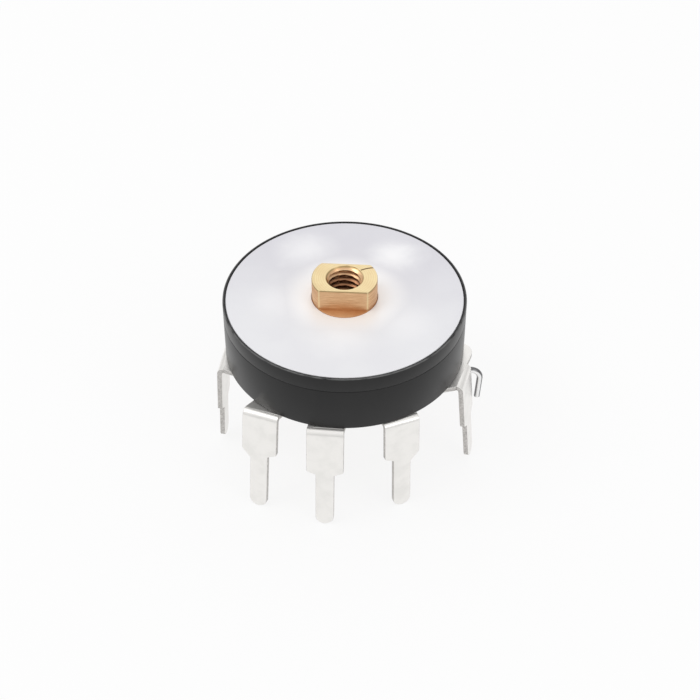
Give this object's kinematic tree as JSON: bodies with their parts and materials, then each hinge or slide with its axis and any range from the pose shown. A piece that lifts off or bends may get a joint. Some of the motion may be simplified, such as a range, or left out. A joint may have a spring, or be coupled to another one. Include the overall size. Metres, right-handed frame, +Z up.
{
  "type": "switched rotary potentiometer",
  "caption": "Thin round carbon potentiometer with a built-in on/off switch, bent solder legs and a tapped flat-sided brass shaft boss.",
  "frame": {"origin": "where the shaft's axis crosses the circuit board, in the plane of the legs' shoulders", "axes": "+Z up the shaft's axis, -Y towards the middle leg, +X towards the leg with the wire hook"},
  "size_m": [0.0178, 0.0175, 0.0133],
  "materials": {
    "case": "satin moulded, black",
    "plate": "satin, pale",
    "wafer": "phenolic laminate",
    "tinned": "bright tin plate",
    "silvered": "silver plated brass",
    "eyelet": "bright",
    "contact": "silver",
    "wire": "bright spring wire",
    "bronze": "phosphor bronze",
    "brass": "machined",
    "rotor": "moulded",
    "fibre": "vulcanised fibre",
    "steel": "zinc plated"
  },
  "bodies": {
    "case": {"lower_case": "case", "upper_case": "case", "cover_plate": "plate", "resistor_wafer": "wafer", "collector_ring": "silvered", "terminal_1": "tinned", "terminal_2": "tinned", "terminal_3": "tinned", "terminal_4": "tinned", "terminal_5": "tinned", "terminal_eyelets": "eyelet", "switch_bus": "silvered", "fixed_contact": "contact", "switch_wire": "wire", "fibre_washer": "fibre", "spring_washer": "steel"},
    "rotor": {"shaft": "brass", "rotor": "rotor", "wiper": "bronze", "retaining_washer": "steel"},
    "switch_arm": {"switch_arm": "bronze", "arm_contact": "contact"}
  },
  "joints": [
    {"name": "shaft_turn", "type": "hinge", "parent": "case", "child": "rotor", "pos_m": [0, 0, 0.0071], "axis": [0, 0, 1], "range_deg": [-153.5, 146.5]},
    {"name": "switch_arm_swing", "type": "hinge", "parent": "case", "child": "switch_arm", "pos_m": [0.00645, -0.00077, 0.0044], "axis": [0, 0, -1], "range_deg": [0, 3], "stiffness_Nm_per_rad": 0.0001, "springref_deg": -5.73}
  ]
}
